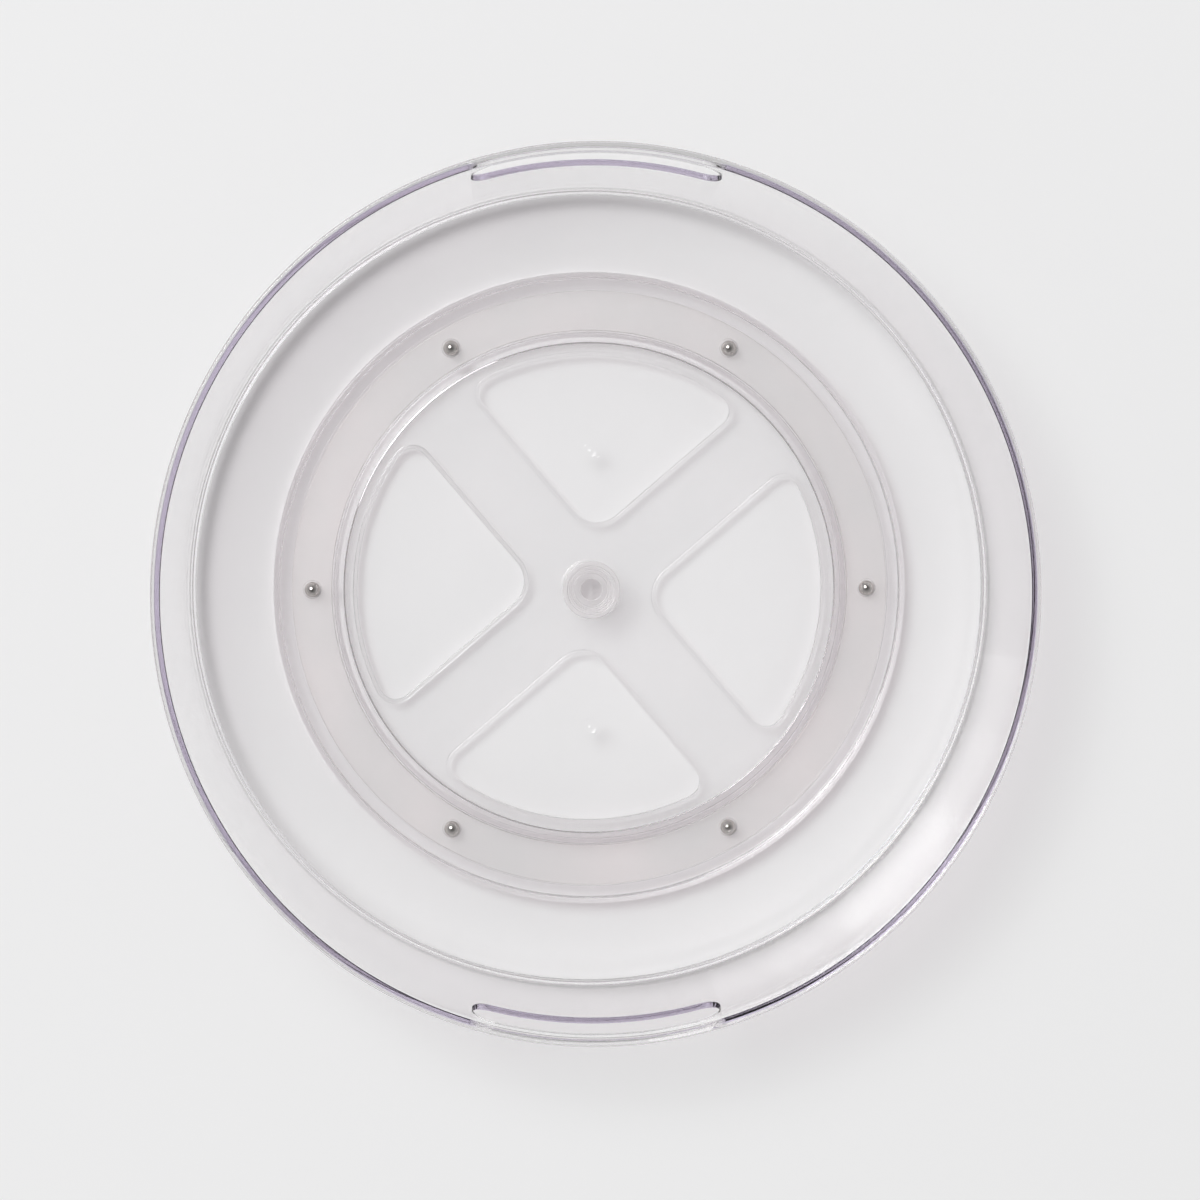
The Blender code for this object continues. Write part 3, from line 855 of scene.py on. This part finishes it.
def clear_plastic(name, tints, transmission, roughness, uprights, walls, slants, has_rim=False):
    """Clear or frosted moulded plastic: refraction for what is seen, and its own pass for lamps."""
    nodes = Nodes(name)
    where = nodes.object_coordinates()
    flow = nodes.noise(where, FLOW_SCALE, FLOW_DETAIL)
    grain = nodes.noise(where, GRAIN_SCALE)
    marks = scratches(nodes, where, SCRATCH_SCALE, SCRATCH_STRETCH, SCRATCH_TURN)
    relief = nodes.add("ShaderNodeBump", Strength=PLASTIC_RELIEF, Distance=PLASTIC_RELIEF_DEPTH)
    nodes.set(relief, "Height", nodes.math("MULTIPLY_ADD", marks, SCRATCH_RELIEF, grain))
    glass = nodes.add("ShaderNodeBsdfPrincipled")
    glass.inputs["Metallic"].default_value = 0.0
    glass.inputs["IOR"].default_value = PLASTIC_IOR
    glass.inputs["Transmission Weight"].default_value = transmission
    colour = nodes.blend(nodes.ramp(flow, *FLOW_BAND, 0.0, 1.0), *tints)
    if has_rim:
        # Painted violet shade on the rim's inner half and the slots' lower faces, for the long light path
        # down the wall.
        colour = nodes.blend(painted_edge_shade(nodes), colour, RIM_PAINTED_SHADE)
    nodes.set(glass, "Base Color", colour)
    haze = nodes.ramp(grain, *GRAIN_BAND, *roughness)
    if has_rim:
        haze = nodes.math("MULTIPLY_ADD", slot_end_share(nodes), SLOT_END_HAZE, haze)
    nodes.set(glass, "Roughness", nodes.math("MULTIPLY_ADD", marks, SCRATCH_HAZE, haze))
    nodes.set(glass, "Normal", relief.outputs[0])
    path = nodes.add("ShaderNodeLightPath")
    lamps = nodes.math("MAXIMUM", path.outputs["Is Shadow Ray"], path.outputs["Is Diffuse Ray"])
    mix = nodes.add("ShaderNodeMixShader")
    nodes.set(mix, 0, lamps)
    nodes.set(mix, 1, glass.outputs[0])
    nodes.set(mix, 2, lamp_side(nodes, uprights, walls, slants))
    nodes.set(nodes.output, "Surface", mix.outputs[0])
    inside = nodes.add("ShaderNodeVolumeAbsorption", Density=ABSORPTION_DENSITY)
    inside.inputs["Color"].default_value = ABSORPTION_COLOUR
    nodes.set(nodes.output, "Volume", inside.outputs[0])
    return nodes.material


def ball_steel():
    """Polished bearing steel with a faint lapped haze and a few hairlines."""
    nodes = Nodes("ball_steel")
    where = nodes.object_coordinates()
    smear = nodes.noise(where, STEEL_SMEAR_SCALE, STEEL_SMEAR_DETAIL)
    marks = scratches(nodes, where, STEEL_SCRATCH_SCALE, STEEL_SCRATCH_STRETCH, STEEL_SCRATCH_TURN)
    relief = nodes.add("ShaderNodeBump", Strength=STEEL_RELIEF, Distance=STEEL_RELIEF_DEPTH)
    nodes.set(relief, "Height", marks)
    steel = nodes.add("ShaderNodeBsdfPrincipled")
    steel.inputs["Metallic"].default_value = 1.0
    nodes.set(steel, "Base Color", nodes.blend(smear, *STEEL_TINTS))
    nodes.set(steel, "Roughness", nodes.ramp(smear, *STEEL_SMEAR_BAND, *STEEL_HAZE))
    nodes.set(steel, "Normal", relief.outputs[0])
    nodes.set(nodes.output, "Surface", steel.outputs[0])
    return nodes.material


def table_top():
    """Matte white table with a very faint mottle."""
    nodes = Nodes("white_table")
    where = nodes.object_coordinates()
    mottle = nodes.noise(where, TABLE_MOTTLE_SCALE, TABLE_MOTTLE_DETAIL)
    paint = nodes.add("ShaderNodeBsdfPrincipled")
    paint.inputs["Specular IOR Level"].default_value = 0.0
    paint.inputs["Roughness"].default_value = TABLE_ROUGHNESS
    nodes.set(paint, "Base Color", nodes.blend(mottle, *TABLE_TINTS))
    nodes.set(nodes.output, "Surface", paint.outputs[0])
    return nodes.material


# ---------------------------------------------------------------- scene


def build_camera():
    data = bpy.data.cameras.new("camera")
    data.lens = CAMERA_LENS
    data.sensor_width = CAMERA_SENSOR
    camera = bpy.data.objects.new("camera", data)
    look = CAMERA_TARGET - CAMERA_PLACE
    back = -look.normalized()
    right = Vector((0.0, 1.0, 0.0)).cross(back).normalized()
    up = back.cross(right)
    camera.matrix_world = Matrix.Translation(CAMERA_PLACE) @ Matrix((right, up, back)).transposed().to_4x4()
    bpy.context.scene.collection.objects.link(camera)
    bpy.context.scene.camera = camera


def build_lights():
    lean = math.sin(KEY_TILT)
    direction = Vector((lean * math.cos(KEY_AZIMUTH), lean * math.sin(KEY_AZIMUTH), math.cos(KEY_TILT)))
    for index, (radius, power) in enumerate(KEY_DISCS):
        data = bpy.data.lights.new(f"softbox_{index + 1}", "AREA")
        data.shape = "DISK"
        data.size = 2 * radius
        data.energy = power
        softbox = bpy.data.objects.new(f"softbox_{index + 1}", data)
        softbox.location = direction * KEY_DISTANCE
        softbox.rotation_euler = direction.to_track_quat("Z", "Y").to_euler()
        bpy.context.scene.collection.objects.link(softbox)


def build_room():
    """A pale room that is darker overhead than at its sides."""
    world = bpy.data.worlds.new("room")
    world.use_nodes = True
    bpy.context.scene.world = world
    tree = world.node_tree
    tree.nodes.clear()
    where = tree.nodes.new("ShaderNodeTexCoord")
    split = tree.nodes.new("ShaderNodeSeparateXYZ")
    spread = tree.nodes.new("ShaderNodeMapRange")
    light = tree.nodes.new("ShaderNodeBackground")
    output = tree.nodes.new("ShaderNodeOutputWorld")
    spread.inputs["From Min"].default_value = ROOM_HORIZON
    spread.inputs["From Max"].default_value = 1.0
    spread.inputs["To Min"].default_value = ROOM_SIDES
    spread.inputs["To Max"].default_value = ROOM_ZENITH
    tree.links.new(where.outputs["Generated"], split.inputs[0])
    tree.links.new(split.outputs["Z"], spread.inputs["Value"])
    tree.links.new(spread.outputs[0], light.inputs["Strength"])
    tree.links.new(light.outputs[0], output.inputs["Surface"])


def build_table():
    bm = bmesh.new()
    bmesh.ops.create_grid(bm, x_segments=TABLE_SEGMENTS, y_segments=TABLE_SEGMENTS, size=TABLE_SIZE)
    table = mesh_object("table", bm)
    table.location.z = -TABLE_DROP
    table.data.materials.append(table_top())


def place(piece, body, slot, nodes, material):
    piece.data.materials.clear()
    piece.data.materials.append(material)
    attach(piece, body)
    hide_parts(*nodes)


def main():
    build_camera()
    build_lights()
    build_room()
    build_table()
    clear = (CLEAR_TINTS, CLEAR_TRANSMISSION)
    misty = (MISTY_TINTS, MISTY_TRANSMISSION, MISTY_HAZE)
    frosted = (FROSTED_TINTS, FROSTED_TRANSMISSION, FROSTED_HAZE)
    tray_plastic = clear_plastic("tray_plastic", *clear, TRAY_HAZE, *TRAY_PASS, has_rim=True)
    base_plastic = clear_plastic("base_plastic", *clear, BASE_HAZE, *BASE_PASS)
    hub_plastic = clear_plastic("hub_plastic", *misty, *HUB_PASS)
    cage_plastic = clear_plastic("cage_plastic", *frosted, *BASE_PASS)
    place(build_tray(), "tray", "clear_tray_plastic", ["tray"], tray_plastic)
    place(build_base(), "base", "clear_base_plastic", ["base"], base_plastic)
    place(build_hub(), "base", "clear_hub_plastic", ["hub_button"], hub_plastic)
    place(build_cage(), "ball_cage", "frosted_cage_plastic", ["ball_cage"], cage_plastic)
    steel = ball_steel()
    for name in BALL_NAMES:
        place(build_ball(name), name, "ball_steel", [name], steel)
    cycles = bpy.context.scene.cycles
    cycles.max_bounces = CLEAR_BOUNCES
    cycles.transmission_bounces = CLEAR_BOUNCES
    cycles.glossy_bounces = GLOSSY_BOUNCES
    cycles.transparent_max_bounces = TRANSPARENT_BOUNCES
    bpy.context.scene.view_settings.view_transform = "Standard"


main()
